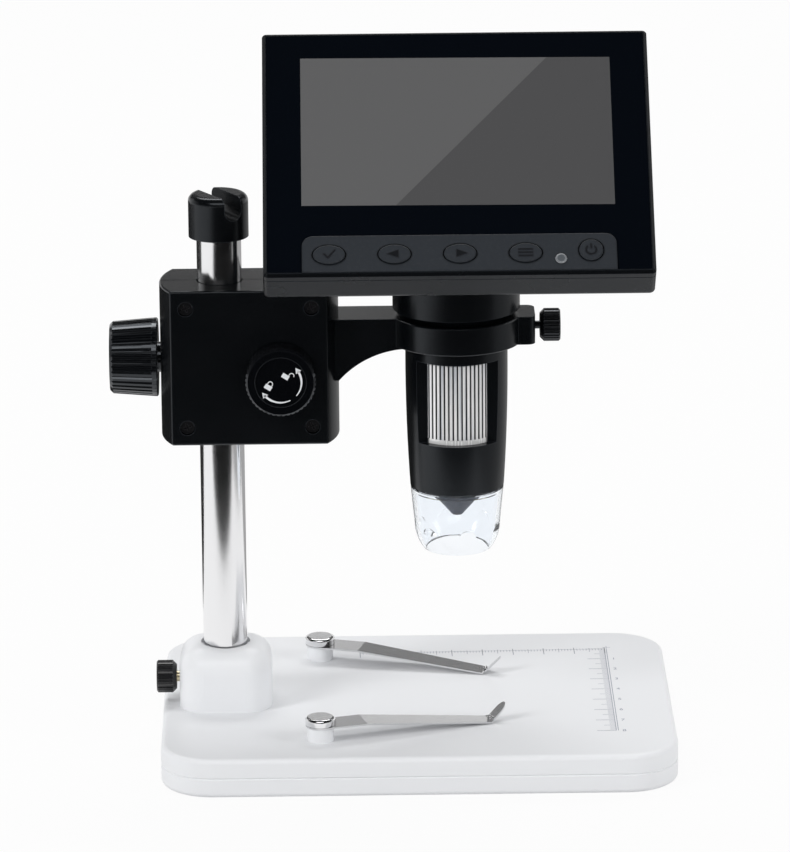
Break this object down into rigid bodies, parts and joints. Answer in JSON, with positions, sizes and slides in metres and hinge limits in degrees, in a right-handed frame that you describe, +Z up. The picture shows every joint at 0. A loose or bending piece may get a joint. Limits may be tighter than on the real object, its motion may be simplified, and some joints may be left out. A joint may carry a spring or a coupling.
{
  "type": "lcd digital microscope",
  "caption": "Digital microscope with its own tilted screen, on a carriage that slides on a pole over a flat stage with spring clips.",
  "frame": {"origin": "middle of the base's underside", "axes": "+Z up along the pole, -Y towards the user, +X to the user's right"},
  "size_m": [0.1771, 0.121, 0.2276],
  "materials": {
    "base_upper_shell": "satin",
    "base_lower_shell": "satin",
    "base_pads": "matte",
    "base_screws": "satin",
    "ballast_plate": "satin",
    "pole": "polished",
    "pole_cap": "satin",
    "clip_posts": "satin",
    "clip_screws": "polished",
    "base_thumb_screw": "satin",
    "clip_rear": "polished",
    "clip_front": "polished",
    "block_front_shell": "satin",
    "block_rear_shell": "satin",
    "block_screws": "satin",
    "pole_bushes": "satin",
    "shaft_bush": "satin",
    "lock_insert": "satin",
    "brake_pad": "satin",
    "arm": "satin",
    "focus_knob": "satin",
    "focus_shaft": "satin",
    "focus_roller": "matte",
    "lock_knob": "satin",
    "lock_stud": "satin",
    "ring_thumb_screw": "satin",
    "neck": "satin",
    "tube_shell": "satin",
    "sensor_board": "satin",
    "led_board": "satin",
    "leds": "polished",
    "lens_hood": "matte",
    "rear_housing": "satin",
    "front_bezel": "satin",
    "display_glass": "polished",
    "lcd_panel": "satin",
    "button_panel": "satin",
    "indicator_lens": "polished",
    "button_board": "satin",
    "main_board": "satin",
    "battery": "satin",
    "camera_ribbon": "satin",
    "housing_screws": "satin",
    "usb_socket": "satin",
    "card_slot": "satin",
    "focusing_ring": "satin",
    "lens_carriage": "matte",
    "lenses": "polished",
    "clear_cap": "polished",
    "button_ok": "satin",
    "button_left": "satin",
    "button_right": "satin",
    "button_menu": "satin",
    "button_power": "satin"
  },
  "bodies": {
    "base": {"base_upper_shell": "base_upper_shell", "base_lower_shell": "base_lower_shell", "base_pads": "base_pads", "base_screws": "base_screws", "ballast_plate": "ballast_plate", "pole": "pole", "pole_cap": "pole_cap", "clip_posts": "clip_posts", "clip_screws": "clip_screws"},
    "base_clamp": {"base_thumb_screw": "base_thumb_screw"},
    "rear_clip": {"clip_rear": "clip_rear"},
    "front_clip": {"clip_front": "clip_front"},
    "carriage": {"block_front_shell": "block_front_shell", "block_rear_shell": "block_rear_shell", "block_screws": "block_screws", "pole_bushes": "pole_bushes", "shaft_bush": "shaft_bush", "lock_insert": "lock_insert", "brake_pad": "brake_pad", "arm": "arm"},
    "focus_drive": {"focus_knob": "focus_knob", "focus_shaft": "focus_shaft", "focus_roller": "focus_roller"},
    "lock": {"lock_knob": "lock_knob", "lock_stud": "lock_stud"},
    "ring_clamp": {"ring_thumb_screw": "ring_thumb_screw"},
    "head": {"neck": "neck", "tube_shell": "tube_shell", "sensor_board": "sensor_board", "led_board": "led_board", "leds": "leds", "lens_hood": "lens_hood", "rear_housing": "rear_housing", "front_bezel": "front_bezel", "display_glass": "display_glass", "lcd_panel": "lcd_panel", "button_panel": "button_panel", "indicator_lens": "indicator_lens", "button_board": "button_board", "main_board": "main_board", "battery": "battery", "camera_ribbon": "camera_ribbon", "housing_screws": "housing_screws", "usb_socket": "usb_socket", "card_slot": "card_slot"},
    "ring": {"focusing_ring": "focusing_ring"},
    "lens": {"lens_carriage": "lens_carriage", "lenses": "lenses"},
    "cap": {"clear_cap": "clear_cap"},
    "ok_key": {"button_ok": "button_ok"},
    "left_key": {"button_left": "button_left"},
    "right_key": {"button_right": "button_right"},
    "menu_key": {"button_menu": "button_menu"},
    "power_key": {"button_power": "button_power"}
  },
  "joints": [
    {"name": "base_clamp_turn", "type": "hinge", "parent": "base", "child": "base_clamp", "pos_m": [-0.075, -0.0025, 0.0206], "axis": [-1, 0, 0], "range_deg": [0, 720]},
    {"name": "rear_clip_swing", "type": "hinge", "parent": "base", "child": "rear_clip", "pos_m": [-0.031, 0.0372, 0.0176], "axis": [0, 0, 1], "range_deg": [-8, 30]},
    {"name": "front_clip_swing", "type": "hinge", "parent": "base", "child": "front_clip", "pos_m": [-0.031, -0.0422, 0.0176], "axis": [0, 0, 1], "range_deg": [-30, 8]},
    {"name": "focus_slide", "type": "slide", "parent": "base", "child": "carriage", "axis": [0, 0, 1], "range_m": [-0.05, 0.014]},
    {"name": "focus_knob_turn", "type": "hinge", "parent": "carriage", "child": "focus_drive", "pos_m": [-0.0519, 0.0068, 0.124], "axis": [1, 0, 0], "range_deg": [-1305, 366]},
    {"name": "lock_turn", "type": "hinge", "parent": "carriage", "child": "lock", "pos_m": [-0.0421, -0.024, 0.124], "axis": [0, -1, 0], "range_deg": [0, 90]},
    {"name": "ring_clamp_turn", "type": "hinge", "parent": "carriage", "child": "ring_clamp", "pos_m": [0.0381, -0.0025, 0.1357], "axis": [1, 0, 0], "range_deg": [0, 720]},
    {"name": "head_turn", "type": "hinge", "parent": "carriage", "child": "head", "pos_m": [0.0131, -0.0025, 0.1357], "axis": [0, 0, 1], "range_deg": [-15, 180]},
    {"name": "focusing_ring_turn", "type": "hinge", "parent": "head", "child": "ring", "pos_m": [0.0131, -0.0025, 0.1136], "axis": [0, 0, 1], "range_deg": [-150, 150]},
    {"name": "lens_slide", "type": "slide", "parent": "head", "child": "lens", "axis": [0, 0, 1], "range_m": [-0.004, 0.004]},
    {"name": "cap_pull", "type": "slide", "parent": "head", "child": "cap", "axis": [0, 0, -1], "range_m": [0, 0.008]},
    {"name": "ok_press", "type": "slide", "parent": "head", "child": "ok_key", "axis": [0, 0.6947, -0.7193], "range_m": [0, 0.0005], "stiffness_N_per_m": 300, "springref_m": -0.0005},
    {"name": "left_press", "type": "slide", "parent": "head", "child": "left_key", "axis": [0, 0.6947, -0.7193], "range_m": [0, 0.0005], "stiffness_N_per_m": 300, "springref_m": -0.0005},
    {"name": "right_press", "type": "slide", "parent": "head", "child": "right_key", "axis": [0, 0.6947, -0.7193], "range_m": [0, 0.0005], "stiffness_N_per_m": 300, "springref_m": -0.0005},
    {"name": "menu_press", "type": "slide", "parent": "head", "child": "menu_key", "axis": [0, 0.6947, -0.7193], "range_m": [0, 0.0005], "stiffness_N_per_m": 300, "springref_m": -0.0005},
    {"name": "power_press", "type": "slide", "parent": "head", "child": "power_key", "axis": [0, 0.6947, -0.7193], "range_m": [0, 0.0005], "stiffness_N_per_m": 300, "springref_m": -0.0005}
  ],
  "couplings": [
    {"joint": "focus_knob_turn", "follows": "focus_slide", "rad_per_m": 454.55},
    {"joint": "lens_slide", "follows": "focusing_ring_turn", "m_per_rad": 0.0015}
  ]
}
